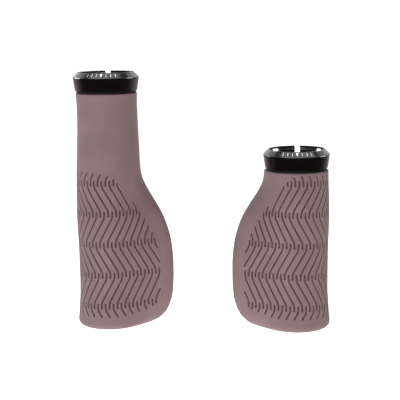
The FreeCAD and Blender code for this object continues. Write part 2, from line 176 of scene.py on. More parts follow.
def rubber_material():
    """Warm grey moulded rubber: matt, slightly cloudy, and darker inside the grooves by painted
    shade.
    """
    light = (0.240, 0.156, 0.165)
    dark = (0.216, 0.138, 0.147)
    # The groove colour is painted shade for the bottoms of the grooves.
    groove = (0.125, 0.072, 0.078)
    material, tree, shader = new_material("moulded_rubber", light, 0.62, specular=0.25)
    clouds = remap(tree, noise(tree, 90.0, 4.0), 0.35, 0.65)
    speckle = remap(tree, noise(tree, 2600.0, 2.0), 0.3, 0.7)
    toned = mixed_color(tree, clouds, dark, light)
    grain = tree.nodes.new("ShaderNodeMix")
    grain.data_type = "RGBA"
    grain.blend_type = "MULTIPLY"
    grain.inputs["Factor"].default_value = 0.10
    tree.links.new(toned, grain.inputs["A"])
    tree.links.new(speckle, grain.inputs["B"])
    # The groove depth blends the colour towards the groove colour: painted shade in the grooves.
    depth = tree.nodes.new("ShaderNodeAttribute")
    depth.attribute_name = "groove_depth"
    color = mixed_color(tree, depth.outputs["Fac"], grain.outputs["Result"], groove)
    tree.links.new(color, shader.inputs["Base Color"])
    tree.links.new(remap(tree, clouds, 0, 1, 0.56, 0.68), shader.inputs["Roughness"])
    shader.inputs["Sheen Weight"].default_value = 0.12
    shader.inputs["Sheen Roughness"].default_value = 0.5
    bump(tree, shader, [
        (noise(tree, 320.0, 3.0), 0.00006),
        (noise(tree, 3200.0, 2.0), 0.00003),
    ])
    return material


def moulded_plastic(name, color, roughness, specular):
    """Black nylon with the fine spark texture of its mould."""
    material, tree, shader = new_material(name, color, roughness, specular=specular)
    tone = remap(tree, noise(tree, 220.0, 4.0), 0.3, 0.7)
    paler = tuple(channel * 1.6 for channel in color)
    tree.links.new(mixed_color(tree, tone, color, paler), shader.inputs["Base Color"])
    rough = remap(tree, tone, 0, 1, roughness - 0.07, roughness + 0.07)
    tree.links.new(rough, shader.inputs["Roughness"])
    bump(tree, shader, [(noise(tree, 2400.0, 3.0), 0.00003)])
    return material


def anodised_material():
    """Glossy black anodising over a turned surface: fine lines run round the ring."""
    black = (0.0022, 0.0016, 0.0017)
    material, tree, shader = new_material("black_anodised", black, 0.12, specular=0.45)
    lines = noise(tree, 60.0, 3.0, stretch=(1, 1, 90))
    tone = remap(tree, lines, 0.3, 0.7)
    paler = tuple(channel * 1.7 for channel in black)
    tree.links.new(mixed_color(tree, tone, black, paler), shader.inputs["Base Color"])
    tree.links.new(remap(tree, tone, 0, 1, 0.09, 0.17), shader.inputs["Roughness"])
    bump(tree, shader, [(lines, 0.0000025)])
    return material


def steel_material(name, color, roughness):
    """Satin steel with fine scratches and slightly uneven polish."""
    material, tree, shader = new_material(name, color, roughness, metallic=1.0)
    polish = remap(tree, noise(tree, 700.0, 4.0), 0.3, 0.7)
    duller = tuple(channel * 0.72 for channel in color)
    tree.links.new(mixed_color(tree, polish, duller, color), shader.inputs["Base Color"])
    rough = remap(tree, polish, 0, 1, roughness + 0.1, roughness - 0.06)
    tree.links.new(rough, shader.inputs["Roughness"])
    bump(tree, shader, [(noise(tree, 900.0, 3.0, stretch=(1, 12, 12)), 0.000015)])
    return material


def paint_material():
    """White filling of the engraved scale."""
    material, tree, shader = new_material("scale_white", (0.72, 0.71, 0.70), 0.5)
    worn = remap(tree, noise(tree, 1500.0, 3.0), 0.25, 0.6)
    color = mixed_color(tree, worn, (0.50, 0.49, 0.49), (0.78, 0.77, 0.76))
    tree.links.new(color, shader.inputs["Base Color"])
    bump(tree, shader, [(noise(tree, 2500.0, 2.0), 0.00001)])
    return material


# ---------------------------------------------------------------- rubber skin

# Height, radius round the bar and reach of the wing's tip, as the CAD sleeve has them.
WING_STATIONS = [
    (0.0, 17.15, 21.0), (3.0, 17.12, 25.6), (6.0, 16.80, 28.5), (9.5, 16.52, 30.3),
    (13.0, 16.28, 31.45), (18.0, 15.98, 32.25), (25.0, 15.90, 32.65), (32.0, 15.96, 32.65),
    (38.0, 16.00, 32.30), (44.3, 16.16, 31.45), (50.5, 16.40, 29.85), (56.8, 16.53, 27.50),
]
NECK_STATIONS = {
    "long": [
        (63.0, 16.49, 24.25), (69.2, 16.36, 20.62), (75.3, 16.18, 17.50),
        (79.5, 16.05, 16.10), (85.0, 15.84, 15.46), (94.0, 15.44, 15.36),
        (103.0, 15.06, 15.06), (112.0, 15.02, 14.58), (119.54, 15.45, 13.40),
    ],
    "short": [
        (63.0, 16.49, 23.95), (69.2, 16.32, 19.78), (75.3, 16.10, 16.45),
        (80.54, 16.02, 14.60),
    ],
}
TIP_RADIUS = 4.6
TANGENT_BLEND = 1.2
FOOT_ROUNDING = 3.0
COLLAR_ROUNDING = 0.6
# Shallow finger hollow behind the wing: it fades in over HOLLOW_FADE behind the axis.
HOLLOW_DEPTH, HOLLOW_OFFSET, HOLLOW_WIDTH = 1.6, 18.0, 7.5
HOLLOW_LEVEL, HOLLOW_HEIGHT, HOLLOW_FADE = 33.0, 24.0, 5.0
FLANGE_THICKNESS = 1.1
TUBE_RADIUS = 12.6
TUBE_FOOT = 2.25
CAP_OPENING_RADIUS = 12.25

# Layout: s runs from BACK_EDGE to PANEL_END at its true length, and the rest of the way
# round is spread over REST_LENGTH, so that every row has the same width on the layout.
BACK_EDGE = -37.5
PANEL_END = 31.25
REST_LENGTH = 50.0
LAYOUT_END = PANEL_END + REST_LENGTH
FOOT_START = FOOT_ROUNDING * (1 - math.pi / 2)
# Fineness of the mesh: spacing on the layout and rows round the two roundings.
LATTICE = 1.25
FOOT_LATTICE_ROWS, COLLAR_LATTICE_ROWS = 9, 5
INNER_SEGMENTS = 96
# Fineness of the lookup table behind the layout.
OUTLINE_POINTS = 1441
TABLE_COLUMNS = 476
TABLE_ROW_STEP = 0.5
FOOT_ROWS, COLLAR_ROWS = 17, 7


def station_curve(stations, height, column):
    """The CAD's smooth curve through one column of the stations."""
    levels = np.array([station[0] for station in stations])
    values = np.array([station[column] for station in stations])
    steps = np.diff(values) / np.diff(levels)
    slopes = np.concatenate(([steps[0]], np.zeros(len(steps) - 1), [steps[-1]]))
    for i in range(1, len(steps)):
        if steps[i - 1] * steps[i] > 0:
            slopes[i] = 2 * steps[i - 1] * steps[i] / (steps[i - 1] + steps[i])
    i = min(max(int(np.searchsorted(levels, height)) - 1, 0), len(steps) - 1)
    width = levels[i + 1] - levels[i]
    part = min(max((height - levels[i]) / width, 0.0), 1.0)
    rise = part * part * (3 - 2 * part)
    bends = slopes[i] * part * (1 - part) ** 2 + slopes[i + 1] * part * part * (part - 1)
    return values[i] + (values[i + 1] - values[i]) * rise + bends * width


def outline(radius, reach, inset, height):
    """Points round one level, from the front meridian towards the wing and back."""
    angle = -math.pi / 2 + np.linspace(0, 2 * math.pi, OUTLINE_POINTS)
    nudge = 1e-4

    def wrap(turn):
        tip = (reach - TIP_RADIUS) * np.cos(turn) + TIP_RADIUS
        return 0.5 * (radius + tip + np.hypot(radius - tip, TANGENT_BLEND)) - inset

    support = wrap(angle)
    slope = (wrap(angle + nudge) - wrap(angle - nudge)) / (2 * nudge)
    x = support * np.cos(angle) - slope * np.sin(angle)
    y = support * np.sin(angle) + slope * np.cos(angle)
    hollow = HOLLOW_DEPTH * np.exp(-((height - HOLLOW_LEVEL) / HOLLOW_HEIGHT) ** 2)
    hollow *= np.exp(-((x - HOLLOW_OFFSET) / HOLLOW_WIDTH) ** 2)
    behind = np.clip(y / HOLLOW_FADE, 0, 1)
    return x, y - hollow * behind * behind * (3 - 2 * behind)


class Skin:
    """Lookup from the layout (s, w) to places and normals on one grip's rubber skin."""

    def __init__(self, grip):
        self.side = WING_SIDE[grip]
        self.axis = axis_of(grip)
        ring_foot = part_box(grip + "_clamp_ring")[0].z / MM
        self.top = ring_foot - FLANGE_THICKNESS
        self.collar = self.top - COLLAR_ROUNDING
        self.end = self.collar + COLLAR_ROUNDING * math.pi / 2
        first, last = FOOT_ROUNDING + TABLE_ROW_STEP, self.collar - 0.4 * TABLE_ROW_STEP
        self.levels = np.concatenate((
            np.linspace(FOOT_START, FOOT_ROUNDING, FOOT_ROWS),
            np.arange(first, last, TABLE_ROW_STEP),
            np.linspace(self.collar, self.end, COLLAR_ROWS),
        ))
        self.columns = np.linspace(BACK_EDGE, LAYOUT_END, TABLE_COLUMNS)
        stations = WING_STATIONS + NECK_STATIONS[grip]
        self.points = np.array([self.row(stations, level) for level in self.levels])
        up = np.gradient(self.points, axis=0)
        across = np.gradient(self.points, axis=1)
        seam = self.points[:, 1] - self.points[:, -2]
        across[:, 0] = across[:, -1] = seam
        normals = np.cross(across, up)
        self.normals = normals / np.linalg.norm(normals, axis=2, keepdims=True)

    def profile(self, level):
        """Height and inset of a place on the profile."""
        if level < FOOT_ROUNDING:
            turn = (level - FOOT_START) / FOOT_ROUNDING
            return (FOOT_ROUNDING * (1 - math.cos(turn)),
                    FOOT_ROUNDING * (1 - math.sin(turn)))
        if level > self.collar:
            turn = (level - self.collar) / COLLAR_ROUNDING
            return (self.collar + COLLAR_ROUNDING * math.sin(turn),
                    COLLAR_ROUNDING * (1 - math.cos(turn)))
        return level, 0.0

    def row(self, stations, level):
        """Places round the skin at one level of the profile, one for each column."""
        height, inset = self.profile(level)
        radius = station_curve(stations, height, 1)
        reach = station_curve(stations, height, 2)
        x, y = outline(radius, reach, inset, height)
        lengths = np.concatenate(([0], np.cumsum(np.hypot(np.diff(x), np.diff(y)))))
        round_trip = lengths[-1]
        rest = round_trip + BACK_EDGE - PANEL_END
        beyond = (self.columns - PANEL_END) / REST_LENGTH
        s = np.where(beyond > 0, PANEL_END + beyond * rest, self.columns) % round_trip
        place = np.stack((np.interp(s, lengths, x), np.interp(s, lengths, y),
                          np.full(len(s), height)), axis=1)
        place[-1] = place[0]
        return place

    def look_up(self, table, s, w):
        """Values of a table over the layout at any (s, w), by straight interpolation."""
        column = (s - BACK_EDGE) / (self.columns[1] - self.columns[0])
        i = np.clip(column.astype(int), 0, len(self.columns) - 2)
        j = np.clip(np.searchsorted(self.levels, w, side="right") - 1, 0, len(self.levels) - 2)
        across = (column - i)[:, None]
        up = ((w - self.levels[j]) / (self.levels[j + 1] - self.levels[j]))[:, None]
        low = table[j, i] * (1 - across) + table[j, i + 1] * across
        high = table[j + 1, i] * (1 - across) + table[j + 1, i + 1] * across
        return low * (1 - up) + high * up

    def place(self, s, w, depth):
        """Points in metres in the row frame, pressed in by depth."""
        local = self.look_up(self.points, s, w)
        normal = self.look_up(self.normals, s, w)
        normal /= np.linalg.norm(normal, axis=1, keepdims=True)
        local = (local - normal * depth[:, None]) * (self.side, 1, 1) * MM
        return local + (self.axis[0], self.axis[1], 0)


# ---------------------------------------------------------------- herringbone grooves

PITCH = 4.07
GROOVE_DEPTH = 0.85
# A groove ends in an upright stub at each band.  The stub reaches past the middle of the
# band by STUB_REACH, and bends into the slant BEND_REACH before it.
STUB_REACH, BEND_REACH = 1.05, 1.75
BEND_ROUNDING, BEND_POINTS = 1.3, 9
# Share of its full width that a groove keeps on the slant between its two stubs, and
# where it changes, in lengths of a stub from the end.
SLANT_SHARE = 0.84
NARROWS_FROM, NARROWS_TO = 0.6, 1.5
# Each groove leads this many pitches sideways, to and fro from row to row.
SLANT_PITCHES = 1.5
GROOVE_NUMBERS = range(-14, 12)
# Grooves are cut off at the panel's edge on a fine path, where a piece of fewer points is
# dropped, and drawn on a coarser one.
FINE_SPACING, FEWEST_POINTS = 0.1, 9
PATH_SPACING = 0.75
END_POINTS = 8
# The panel keeps this far below the rounded collar.
COLLAR_MARGIN = 0.9
# Heights of the bands where the stubs of two rows interleave, and how far along s the
# lower row's stubs stand in each; the upper row's stubs stand half a pitch off.
BANDS = [(91.0, 2.6), (75.5, 1.75), (59.9, 2.8), (44.2, 2.1), (28.4, 3.05), (12.5, 2.2),
         (-3.0, 3.1)]
# Rise of every band for each millimetre of s.
BAND_TILT = 0.022
# Towards the wing a groove is set back by a share of s squared: by FAN at FAN_LEVEL and
# by FAN_RISE more for each millimetre above it.
FAN = {"long": -0.0013, "short": 0.0002}
FAN_RISE = 0.0001
FAN_LEVEL = 12.5
PATTERN_SHIFT = {"long": 0.0, "short": -1.9}
# Edge of the grooved panel: up its wing side, down to the foot and round the back.
PANEL_EDGE = [
    (-34.0, 80.9), (-15.0, 80.7), (-10.4, 80.6), (-6.5, 80.2), (-2.6, 79.9), (0.5, 79.2),
    (3.7, 77.3), (5.4, 75.4), (14.8, 64.4), (18.2, 59.7), (20.5, 55.9), (22.5, 52.4),
    (24.4, 48.2), (25.4, 46.3), (26.6, 41.5), (27.4, 34.0), (27.7, 30.6), (27.6, 20.5),
    (27.1, 15.0), (25.8, 11.5), (23.3, 10.5), (20.3, 9.5), (17.0, 8.9), (12.9, 8.0),
    (8.5, 7.3), (4.0, 7.2), (-12.4, 7.0), (-34.0, 7.0),
]
EDGE_SHIFT = {"long": 0.0, "short": 1.1}
# Groove profile: distance from the centre line and share of the full depth there.
PROFILE = [(0.31, 1.0), (0.37, 0.93), (0.45, 0.16), (0.51, 0.045), (0.57, 0.0)]
# Each groove is drawn as loops at these distances, and the lattice keeps clear of it.
LOOP_OFFSETS = (0.71, 0.57, 0.51, 0.45, 0.37, 0.31)
LATTICE_CLEARANCE = 0.25
FAR = 99.0


def inside(points, polygon):
    """Which points lie inside a polygon."""
    result = np.zeros(len(points), bool)
    for (x1, y1), (x2, y2) in zip(polygon, polygon[1:] + polygon[:1]):
        crosses = (y1 > points[:, 1]) != (y2 > points[:, 1])
        if y1 != y2:
            meets = x1 + (points[:, 1] - y1) * (x2 - x1) / (y2 - y1)
            result ^= crosses & (points[:, 0] < meets)
    return result


def path_lengths(points):
    """How far along the polyline each of its points lies."""
    steps = np.linalg.norm(np.diff(points[:, :2], axis=0), axis=1)
    return np.concatenate(([0], np.cumsum(steps)))


def resample(points, spacing):
    """The polyline again with evenly spaced points; further columns are carried along."""
    lengths = path_lengths(points)
    count = max(int(round(lengths[-1] / spacing)), 1)
    at = np.linspace(0, lengths[-1], count + 1)
    columns = [np.interp(at, lengths, column) for column in points.T]
    return np.stack(columns, axis=1)


def rounded(corners):
    """A polyline whose inner corners are turned into short smooth bends."""
    corners = [np.array(corner) for corner in corners]
    path = [corners[0]]
    for before, corner, after in zip(corners, corners[1:], corners[2:]):
        start = corner + (before - corner) / np.linalg.norm(before - corner) * BEND_ROUNDING
        end = corner + (after - corner) / np.linalg.norm(after - corner) * BEND_ROUNDING
        for t in np.linspace(0, 1, BEND_POINTS):
            path.append(start * (1 - t) ** 2 + corner * 2 * t * (1 - t) + end * t * t)
    path.append(corners[-1])
    return resample(np.array(path), FINE_SPACING)


def width_shares(path):
    """Full width at both stubs of a groove and less on the slant between them."""
    lengths = path_lengths(path)
    from_end = np.minimum(lengths, lengths[-1] - lengths)
    stub = STUB_REACH + BEND_REACH
    return np.interp(from_end, (NARROWS_FROM * stub, NARROWS_TO * stub), (1.0, SLANT_SHARE))


def runs(kept):
    """First and last number of each unbroken run of True."""
    change = np.diff(np.concatenate(([0], kept.astype(int), [0])))
    return zip(np.flatnonzero(change == 1), np.flatnonzero(change == -1) - 1)


def groove_paths(grip, skin):
    """Centre lines (s, w, share of the full width) of all grooves of one grip."""
    back = PANEL_EDGE[0][0]
    edge = [(s + EDGE_SHIFT[grip] * (s > back), min(w, skin.collar - COLLAR_MARGIN))
            for s, w in PANEL_EDGE]
    paths = []
    for row in range(len(BANDS) - 1):
        upper, upper_s = BANDS[row]
        lower, lower_s = BANDS[row + 1]
        lead = (SLANT_PITCHES if row % 2 else -SLANT_PITCHES) * PITCH
        for number in GROOVE_NUMBERS:
            start = upper_s + PATTERN_SHIFT[grip] + number * PITCH
            finish = start + lower_s - upper_s + lead
            path = rounded([
                (start, upper + STUB_REACH), (start, upper - BEND_REACH),
                (finish, lower + BEND_REACH), (finish, lower - STUB_REACH),
            ])
            fan = FAN[grip] + FAN_RISE * (path[:, 1] - FAN_LEVEL)
            ahead = np.maximum(path[:, 0], 0)
            path[:, 0] -= fan * ahead * ahead
            path[:, 1] += BAND_TILT * path[:, 0]
            path = np.column_stack((path, width_shares(path)))
            for first, last in runs(inside(path, edge)):
                if last + 1 - first >= FEWEST_POINTS:
                    paths.append(resample(path[first:last + 1], PATH_SPACING))
    return paths


def round_end(centre, first, half):
    """Points of a half circle about centre, between the two sides of a groove."""
    start = math.atan2(first[1], first[0])
    turns = start + np.linspace(0, -math.pi, END_POINTS)[1:-1]
    return list(centre + half * np.stack((np.cos(turns), np.sin(turns)), axis=1))


def groove_loop(path, half):
    """Outline of a groove at a distance from its centre line, with round ends."""
    line, share = path[:, :2], path[:, 2:]
    ahead = np.gradient(line, axis=0)
    ahead /= np.linalg.norm(ahead, axis=1, keepdims=True)
    left = np.stack((-ahead[:, 1], ahead[:, 0]), axis=1)
    side = left * half * share
    loop = list(line + side) + round_end(line[-1], left[-1], half * share[-1])
    return loop + list((line - side)[::-1]) + round_end(line[0], -left[0], half * share[0])


def distance_to_paths(points, paths):
    """Distance from each point to the nearest centre line, over its share of width."""
    nearest = np.full(len(points), FAR)
    for path in paths:
        line, share = path[:, :2], path[:, 2]
        low, high = line.min(axis=0) - 1, line.max(axis=0) + 1
        near = np.flatnonzero(np.all((points > low) & (points < high), axis=1))
        here = points[near]
        for start, end, first, last in zip(line, line[1:], share, share[1:]):
            along = end - start
            part = np.clip((here - start) @ along / (along @ along), 0, 1)
            gap = np.linalg.norm(here - start - part[:, None] * along, axis=1)
            gap /= first + (last - first) * part
            nearest[near] = np.minimum(nearest[near], gap)
    return nearest


# ---------------------------------------------------------------- sleeve mesh

def circle_ring(mesh, skin, radius, height):
    """Vertices of a circle about the bar axis, in metres in the row frame."""
    ring = []
    for i in range(INNER_SEGMENTS):
        angle = 2 * math.pi * i / INNER_SEGMENTS
        ring.append(mesh.verts.new((skin.axis[0] + radius * MM * math.cos(angle),
                                    skin.axis[1] + radius * MM * math.sin(angle),
                                    height * MM)))
    return ring


def ring_edges(mesh, ring):
    """The edges that close a ring of vertices."""
    return [mesh.edges.get((ring[i], ring[i - 1])) for i in range(len(ring))]


def lay_out(skin, paths):
    """The skin triangulated on its layout, with the grooves' loops and centre lines as
    edges: its points (s, w) and its faces."""
    columns = np.arange(BACK_EDGE, LAYOUT_END + 0.01, LATTICE)
    levels = np.concatenate((
        np.linspace(FOOT_START, FOOT_ROUNDING, FOOT_LATTICE_ROWS),
        np.linspace(FOOT_ROUNDING, skin.collar, int(skin.collar / LATTICE))[1:-1],
        np.linspace(skin.collar, skin.end, COLLAR_LATTICE_ROWS),
    ))
    lattice = np.stack(np.meshgrid(columns, levels), axis=-1).reshape(-1, 2)
    gap = distance_to_paths(lattice, paths)
    points = [Vector(point) for point in lattice[gap > LOOP_OFFSETS[0] + LATTICE_CLEARANCE]]
    edges = []
    for path in paths:
        for half in LOOP_OFFSETS:
            first = len(points)
            loop = groove_loop(path, half)
            points.extend(Vector(point) for point in loop)
            count = len(loop)
            edges.extend((first + i, first + (i + 1) % count) for i in range(count))
        first = len(points)
        points.extend(Vector(point) for point in path[:, :2])
        edges.extend((first + i, first + i + 1) for i in range(len(path) - 1))
    laid, _, faces, _, _, _ = delaunay_2d_cdt(points, edges, [], 0, 1e-6)
    return np.array([tuple(point) for point in laid]), faces


def make_sleeve(grip, material):
    """The rubber sleeve: grooved skin, inside and both end faces, as one closed mesh."""
    skin = Skin(grip)
    paths = groove_paths(grip, skin)
    flat, faces = lay_out(skin, paths)
    offsets, shares = zip(*PROFILE)
    share = np.interp(distance_to_paths(flat, paths), offsets, shares)
    places = skin.place(flat[:, 0], flat[:, 1], share * GROOVE_DEPTH)

    mesh = bmesh.new()
    layer = mesh.verts.layers.float.new("groove_depth")
    verts = []
    for place, amount in zip(places, share):
        vert = mesh.verts.new(place)
        vert[layer] = amount
        verts.append(vert)
    for face in faces:
        mesh.faces.new([verts[i] for i in face])
    bmesh.ops.remove_doubles(mesh, verts=mesh.verts, dist=1e-6)
    rims = {}
    for edge in mesh.edges:
        if edge.is_boundary:
            rims.setdefault(edge.verts[0].co.z > skin.top * MM / 2, []).append(edge)
    rings = [circle_ring(mesh, skin, radius, height) for radius, height in (
        (CAP_OPENING_RADIUS, 0), (CAP_OPENING_RADIUS, TUBE_FOOT),
        (TUBE_RADIUS, TUBE_FOOT), (TUBE_RADIUS, skin.top))]
    for lower, upper in zip(rings, rings[1:]):
        bridge(mesh, lower, upper)
    for rim, ring in ((rims[False], rings[0]), (rims[True], rings[-1])):
        bmesh.ops.triangle_fill(mesh, use_beauty=True, edges=rim + ring_edges(mesh, ring))
    name = grip + "_rubber_sleeve"
    sleeve = add_object(name, finish_mesh(mesh, name, material, crease=48))
    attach(sleeve, grip + "_grip")
    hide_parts(grip + "_sleeve")


# ---------------------------------------------------------------- ring scale

RING_HEIGHT = 9.36
CHAMFER_FOOT, CHAMFER_FOOT_RADIUS = 6.85, 16.70
CHAMFER_RIM_RADIUS = 14.30
MARK_THICKNESS = 0.04
MARK_STEPS = 4
# Degrees round the ring; ticks on each side of the pointer.
MARK_SPACING = 8.8
POINTER_AT = {"long": -4.0, "short": -3.3}
TICKS_EACH_SIDE = 3
# Each mark: (part of the way up the chamfer, half width) from its foot.
TICK = [(0.28, 0.085), (0.80, 0.085)]
POINTER = [(0.28, 0.06), (0.78, 0.66)]


def chamfer_radius(part):
    """Radius of the chamfer, from 0 at its foot to 1 at its rim."""
    return CHAMFER_FOOT_RADIUS + (CHAMFER_RIM_RADIUS - CHAMFER_FOOT_RADIUS) * part


def chamfer_point(part, across, proud):
    """A point of the chamfer: part is 0 at its foot and 1 at its rim, across is the way
    round from the front in millimetres, and proud is the height over the surface."""
    slope = math.atan2(CHAMFER_FOOT_RADIUS - CHAMFER_RIM_RADIUS, RING_HEIGHT - CHAMFER_FOOT)
    radius = chamfer_radius(part) + proud * math.cos(slope)
    height = CHAMFER_FOOT + (RING_HEIGHT - CHAMFER_FOOT) * part + proud * math.sin(slope)
    angle = -math.pi / 2 + across / radius
    return radius * math.cos(angle), radius * math.sin(angle), height


def add_mark(mesh, origin, centre, rows):
    """A closed thin plate on the chamfer; rows are (part, half width) from its foot."""
    steps = MARK_STEPS
    layers = []
    for proud in (-MARK_THICKNESS, MARK_THICKNESS):
        layer = []
        for part, half in rows:
            middle = math.radians(centre) * chamfer_radius(part)
            line = []
            for k in range(steps + 1):
                across = middle + half * (2 * k / steps - 1)
                place = Vector(chamfer_point(part, across, proud)) * MM
                line.append(mesh.verts.new(origin + place))
            layer.append(line)
        layers.append(layer)
    under, over = layers
    for layer in layers:
        for low, high in zip(layer, layer[1:]):
            for k in range(steps):
                mesh.faces.new((low[k], low[k + 1], high[k + 1], high[k]))
    around = [(j, 0) for j in range(len(rows))]
    around += [(len(rows) - 1, k) for k in range(1, steps + 1)]
    around += [(j, steps) for j in range(len(rows) - 2, -1, -1)]
    around += [(0, k) for k in range(steps - 1, 0, -1)]
    for (j, k), (m, n) in zip(around, around[1:] + around[:1]):
        mesh.faces.new((under[j][k], under[m][n], over[m][n], over[j][k]))


def make_ring_marks(grip, material):
    """The scale on the ring's chamfer: a pointer with ticks on each side."""
    x, y = axis_of(grip)
    origin = Vector((x, y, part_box(grip + "_clamp_ring")[0].z))
    mesh = bmesh.new()
    for number in range(-TICKS_EACH_SIDE, TICKS_EACH_SIDE + 1):
        centre = POINTER_AT[grip] + number * MARK_SPACING
        add_mark(mesh, origin, centre, TICK if number else POINTER)
    name = grip + "_ring_scale"
    marks = add_object(name, finish_mesh(mesh, name, material))
    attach(marks, grip + "_ring")


# ---------------------------------------------------------------- clamp bolt

# The head is 0.01 mm lower than the CAD's, to stay clear of its washer as they turn.
HEAD_RADIUS, HEAD_HEIGHT, HEAD_CHAMFER = 2.75, 2.99, 0.25
FOOT_EDGE_HEIGHT, FOOT_EDGE_INSET = 0.2, 0.15
SOCKET_FLATS, SOCKET_DEPTH, SOCKET_CONE = 2.5, 1.5, 0.35
SOCKET_EDGE, SOCKET_FLARE, SOCKET_FLOOR = 0.12, 1.06, 0.86
SHANK_RADIUS, SHANK_LENGTH, SHANK_FILLET = 1.48, 12.0, 0.1
THREAD_PITCH, THREAD_DEPTH, PLAIN_LENGTH = 0.5, 0.27, 1.0
THREAD_RINGS, THREAD_STEEPNESS, THREAD_RUNOUT = 8, 1.15, 0.5
# The screw's tip narrows to this share of its radius, at this rate per millimetre.
TIP_SHARE, TIP_TAPER = 0.72, 1 / 1.4
KNURLS, KNURL_DEPTH, KNURL_START, KNURL_END = 32, 0.07, 0.15, 0.35
AXIS_HOLE = 0.02
AROUND = 64


def knurled(angle):
    """Radius of the head's knurled side in one direction."""
    return HEAD_RADIUS - KNURL_DEPTH * (0.5 + 0.5 * math.cos(KNURLS * angle))


def hexagon(angle):
    """Distance to the wall of the hexagon socket in one direction."""
    sixth = math.pi / 3
    return SOCKET_FLATS / 2 / math.cos((angle + sixth / 2) % sixth - sixth / 2)


def round_section(radius):
    """A round section."""
    return lambda angle: radius


def socket_section(share):
    """A section of the hexagon socket, scaled by a share."""
    return lambda angle: hexagon(angle) * share


def thread(height, start, end):
    """The thread's section at one height; it begins at start and the tip is at end."""
    fade = min(1.0, (height - start) / THREAD_RUNOUT)
    tip = min(1.0, TIP_SHARE + (end - height) * TIP_TAPER)

    def radius(angle):
        phase = (height / THREAD_PITCH - angle / (2 * math.pi)) % 1.0
        groove = 1 - abs(2 * phase - 1) * THREAD_STEEPNESS
        return (SHANK_RADIUS - THREAD_DEPTH * fade * max(groove, 0.0)) * tip

    return radius


def bolt_rings():
    """(height from the head's top, radius at an angle) for each ring of vertices."""
    rings = [
        (SOCKET_DEPTH + SOCKET_CONE, socket_section(AXIS_HOLE)),
        (SOCKET_DEPTH, socket_section(SOCKET_FLOOR)),
        (SOCKET_DEPTH, socket_section(1.0)),
        (SOCKET_EDGE, socket_section(1.0)),
        (0.0, socket_section(SOCKET_FLARE)),
        (0.0, round_section(HEAD_RADIUS - HEAD_CHAMFER)),
        (HEAD_CHAMFER, round_section(HEAD_RADIUS)),
        (HEAD_CHAMFER + KNURL_START, knurled),
        (HEAD_HEIGHT - KNURL_END, knurled),
        (HEAD_HEIGHT - FOOT_EDGE_HEIGHT, round_section(HEAD_RADIUS - KNURL_DEPTH)),
        (HEAD_HEIGHT, round_section(HEAD_RADIUS - FOOT_EDGE_INSET)),
        (HEAD_HEIGHT, round_section(SHANK_RADIUS + SHANK_FILLET)),
        (HEAD_HEIGHT + SHANK_FILLET, round_section(SHANK_RADIUS)),
    ]
    start = HEAD_HEIGHT + PLAIN_LENGTH
    end = HEAD_HEIGHT + SHANK_LENGTH
    count = int((end - start) / THREAD_PITCH * THREAD_RINGS)
    for i in range(count + 1):
        height = start + (end - start) * i / count
        rings.append((height, thread(height, start, end)))
    rings.append((end, round_section(AXIS_HOLE)))
    return rings


def make_bolt(grip, material):
    """Socket head screw with a knurled head and a cut thread, built along +Z from the
    top of its head and then laid on the bolt joint's axis."""
    joint = joints[grip + "_bolt_spin"]
    outwards = Vector(joint["axis"]).normalized()
    anchor = Vector(joint["pos_m"])
    cad_bolt = frame["nodes"][grip + "_clamp_bolt"].data
    rise = max((vert.co - anchor).dot(outwards) for vert in cad_bolt.vertices)
    head_top = anchor + outwards * rise
    turn = (-outwards).to_track_quat("Z", "X").to_matrix().to_4x4()
    mesh = bmesh.new()
    rows = []
    for height, radius in bolt_rings():
        row = []
        for i in range(AROUND):
            angle = 2 * math.pi * i / AROUND
            reach = radius(angle)
            row.append(mesh.verts.new((reach * math.cos(angle) * MM,
                                       reach * math.sin(angle) * MM, height * MM)))
        rows.append(row)
    for lower, upper in zip(rows, rows[1:]):
        bridge(mesh, lower, upper)
    mesh.faces.new(rows[0])
    mesh.faces.new(rows[-1])
    lay = Matrix.Translation(head_top) @ turn
    bmesh.ops.transform(mesh, matrix=lay, verts=mesh.verts)
    name = grip + "_bolt"
    bolt = add_object(name, finish_mesh(mesh, name, material, crease=35))
    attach(bolt, grip + "_bolt")
    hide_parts(grip + "_clamp_bolt")


# ---------------------------------------------------------------- the pair

rubber = rubber_material()
anodised = anodised_material()
core_nylon = moulded_plastic("core_nylon", (0.006, 0.0055, 0.0057), 0.5, 0.18)
cap_nylon = moulded_plastic("cap_nylon", (0.016, 0.0155, 0.0165), 0.42, 0.35)
bolt_steel = steel_material("bolt_steel", (0.56, 0.55, 0.53), 0.30)
washer_steel = steel_material("washer_steel", (0.50, 0.49, 0.48), 0.36)
scale_white = paint_material()

for grip in GRIPS:
    make_sleeve(grip, rubber)
    make_ring_marks(grip, scale_white)
    make_bolt(grip, bolt_steel)
    for node, material in (("core", core_nylon), ("end_cap", cap_nylon),
                           ("clamp_ring", anodised), ("bolt_washer", washer_steel)):
        data = frame["nodes"]["%s_%s" % (grip, node)].data
        data.materials.clear()
        data.materials.append(material)


# ---------------------------------------------------------------- stage, light, camera

FLOOR_RADIUS = 12.0
CARD_HALF, CARD_LIFT = 6.0, 0.0004
LIGHT_DISTANCE = 1.5
# Name, azimuth and elevation in degrees, width and height in metres, and power.
KEY_LIGHT = ("left_softbox", -24, 12, 0.9, 1.2, 4.2)
RING_LIGHTS = [
    ("front_edge_light", -18, 48, 1.9, 0.4, 26.0),
    ("right_edge_light", 60, 40, 1.2, 0.4, 5.0),
    ("left_mouth_light", -112, 12, 0.8, 0.5, 30.0),
    ("right_mouth_light", 97, 12, 0.8, 0.5, 30.0),
    ("overhead_light", 0, 80, 2.6, 1.0, 19.0),
    ("back_left_light", -135, 32, 1.4, 0.9, 4.4),
    ("back_right_light", 135, 32, 1.4, 0.9, 4.8),
]
CAMERA_PLACE = (-0.000953, -0.56533, 0.15769)
CAMERA_LENS, CAMERA_SENSOR = 101.018, 36.0
CAMERA_DOWN, CAMERA_ROLL = 9.364, -0.72


